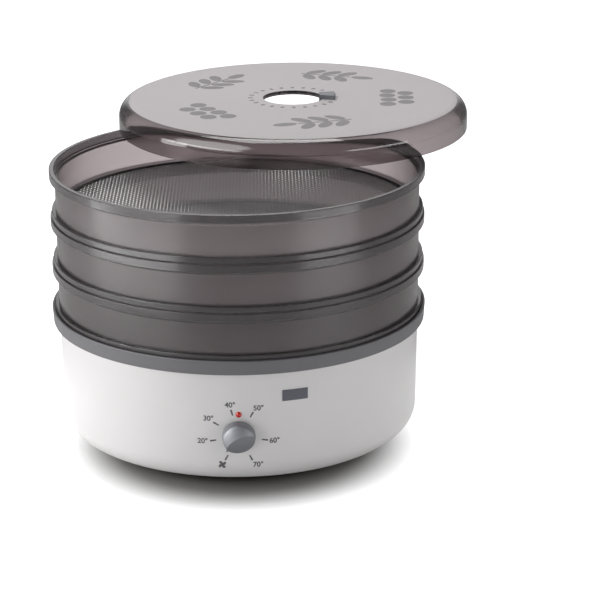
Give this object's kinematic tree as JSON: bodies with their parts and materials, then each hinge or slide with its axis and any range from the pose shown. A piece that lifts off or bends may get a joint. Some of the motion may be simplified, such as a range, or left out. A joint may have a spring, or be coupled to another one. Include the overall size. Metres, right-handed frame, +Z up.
{
  "type": "food dehydrator",
  "caption": "Round countertop food dehydrator: fan-heater base with a dial, stacking smoke-tinted trays with wire screens, and a vented lid slid half open.",
  "frame": {"origin": "on the table, at the middle of the base's underside between the feet", "axes": "+Z up along the base's axis, -Y out of the front with the knob, +X to the right seen from the front"},
  "size_m": [0.38, 0.4703, 0.2712],
  "materials": {
    "white_abs": "satin white moulding",
    "grey_abs": "fine matte mid-grey moulding",
    "dark_abs": "matte near-black moulding",
    "smoke_satin": "smoke-tinted, satin outside",
    "smoke_clear": "smoke-tinted, polished",
    "stainless_net": "woven stainless wire",
    "silver_plastic": "silver-grey lacquer",
    "red_lens": "clear red",
    "rubber": "matte",
    "zinc_steel": "zinc plated",
    "sintered_bronze": "sintered",
    "copper_wire": "enamelled winding",
    "sheet_aluminium": "plain sheet"
  },
  "bodies": {
    "base": {"base_housing": "white_abs", "base_rim_ring": "grey_abs", "deck_grille": "grey_abs", "deck_screws": "zinc_steel", "bottom_plate": "dark_abs", "bottom_screws": "zinc_steel", "rubber_feet": "rubber", "motor_bridge_lower": "zinc_steel", "motor_bridge_upper": "zinc_steel", "motor_bearings": "sintered_bronze", "motor_stator": "zinc_steel", "motor_coil": "copper_wire", "motor_screws": "zinc_steel", "air_duct": "sheet_aluminium", "heater_element": "zinc_steel", "heater_clips": "zinc_steel", "thermal_cutout": "dark_abs", "thermostat_body": "dark_abs", "thermostat_nut": "zinc_steel", "thermostat_probe": "sintered_bronze", "lamp_lens": "red_lens", "lamp_holder": "dark_abs", "cord_gland": "rubber", "terminal_block": "white_abs", "wiring": "rubber"},
    "fan": {"fan_impeller": "dark_abs", "motor_rotor": "zinc_steel", "motor_shaft": "zinc_steel", "fan_clip": "zinc_steel"},
    "knob": {"control_knob": "silver_plastic", "thermostat_spindle": "zinc_steel"},
    "tray_1": {"tray_1_ring": "smoke_satin", "tray_1_hoop": "dark_abs", "tray_1_net": "stainless_net"},
    "tray_2": {"tray_2_ring": "smoke_satin", "tray_2_hoop": "dark_abs", "tray_2_net": "stainless_net"},
    "tray_3": {"tray_3_ring": "smoke_satin", "tray_3_hoop": "dark_abs", "tray_3_net": "stainless_net"},
    "lid": {"lid": "smoke_clear"},
    "marker": {"time_marker": "grey_abs"}
  },
  "joints": [
    {"name": "fan_spin", "type": "hinge", "parent": "base", "child": "fan", "pos_m": [0, 0, 0.0585], "axis": [0, 0, 1], "continuous": true},
    {"name": "knob_turn", "type": "hinge", "parent": "base", "child": "knob", "pos_m": [0, -0.166, 0.0468], "axis": [0, 1, 0], "range_deg": [-13, 291]},
    {"name": "tray_1_lift", "type": "slide", "parent": "base", "child": "tray_1", "axis": [0, 0, 1], "range_m": [0, 0.08]},
    {"name": "tray_2_lift", "type": "slide", "parent": "tray_1", "child": "tray_2", "axis": [0, 0, 1], "range_m": [0, 0.08]},
    {"name": "tray_3_lift", "type": "slide", "parent": "tray_2", "child": "tray_3", "axis": [0, 0, 1], "range_m": [0, 0.08]},
    {"name": "lid_slide", "type": "slide", "parent": "tray_3", "child": "lid", "axis": [0.3563, 0.9344, 0], "range_m": [-0.14427, 0.185]},
    {"name": "marker_turn", "type": "hinge", "parent": "lid", "child": "marker", "pos_m": [0.0514, 0.1348, 0.2673], "axis": [0, 0, 1], "continuous": true}
  ]
}
